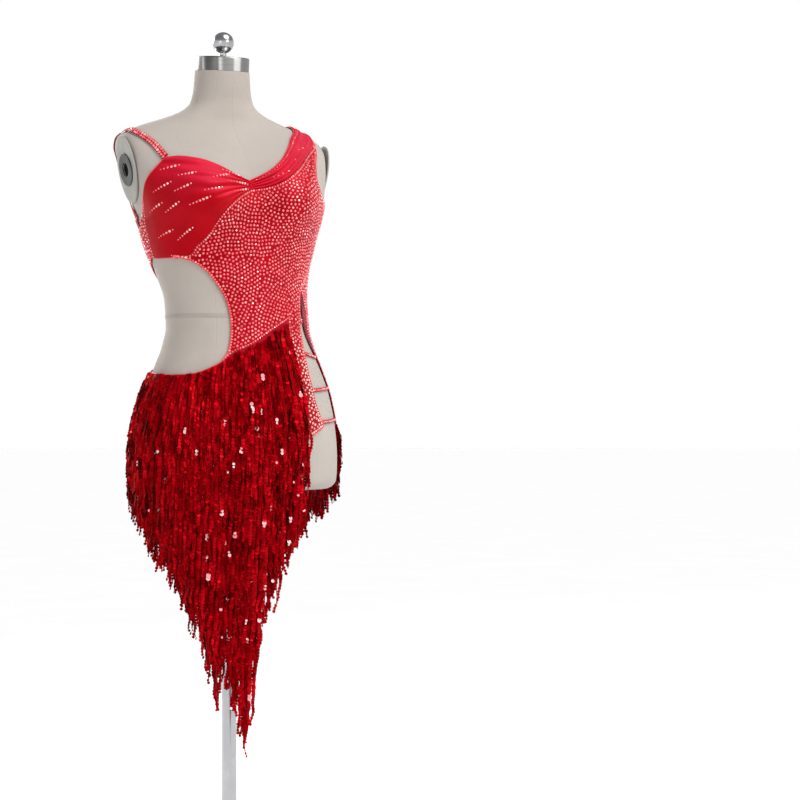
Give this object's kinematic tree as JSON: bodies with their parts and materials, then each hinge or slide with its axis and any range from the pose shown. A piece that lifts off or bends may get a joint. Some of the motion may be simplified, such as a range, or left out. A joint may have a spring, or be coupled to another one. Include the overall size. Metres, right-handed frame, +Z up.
{
  "type": "salsa dance dress on a dress form",
  "caption": "Red salsa dance dress with a draped shoulder, waist cut-out, laddered hip, rhinestones and a pointed sequin fringe skirt, on a limbless dress form with a pole stand.",
  "frame": {"origin": "on the floor under the middle of the pole and the round base", "axes": "+Z up, the form faces -Y, +X is the wearer's left"},
  "size_m": [0.4, 0.4, 1.5274],
  "materials": {
    "form_cover": "taut matte jersey cover",
    "brushed_steel": "brushed round the neck",
    "chrome": "polished",
    "dark_steel": "darkened",
    "black_plastic": "matt",
    "painted_steel": "satin",
    "red_lycra": "smooth stretch knit with a soft sheen",
    "stoned_lycra": "stretch knit set all over with pale pink rhinestones",
    "red_fringe": "threads strung with glossy red sequins"
  },
  "bodies": {
    "root": {"form_torso": "form_cover", "form_neck_cap": "brushed_steel", "form_finial": "chrome", "form_arm_plate_right": "form_cover", "form_arm_plate_left": "form_cover", "form_arm_ring_right": "dark_steel", "form_arm_ring_left": "dark_steel", "form_arm_socket_right": "black_plastic", "form_arm_socket_left": "black_plastic", "stand_pole": "chrome", "stand_boss": "chrome", "stand_base": "painted_steel", "front_panel": "stoned_lycra", "right_cup": "red_lycra", "neck_band": "red_lycra", "back_panel": "stoned_lycra", "right_side_panel": "stoned_lycra", "right_shoulder_strap": "stoned_lycra", "hip_strap_1": "stoned_lycra", "hip_strap_2": "stoned_lycra", "hip_strap_3": "stoned_lycra", "hip_strap_4": "stoned_lycra", "brief_front": "red_lycra", "brief_back": "red_lycra", "fringe_front_1": "red_fringe", "fringe_front_2": "red_fringe", "fringe_front_3": "red_fringe", "fringe_front_4": "red_fringe", "fringe_back_1": "red_fringe", "fringe_back_2": "red_fringe", "fringe_back_3": "red_fringe", "fringe_back_4": "red_fringe"}
  },
  "joints": []
}
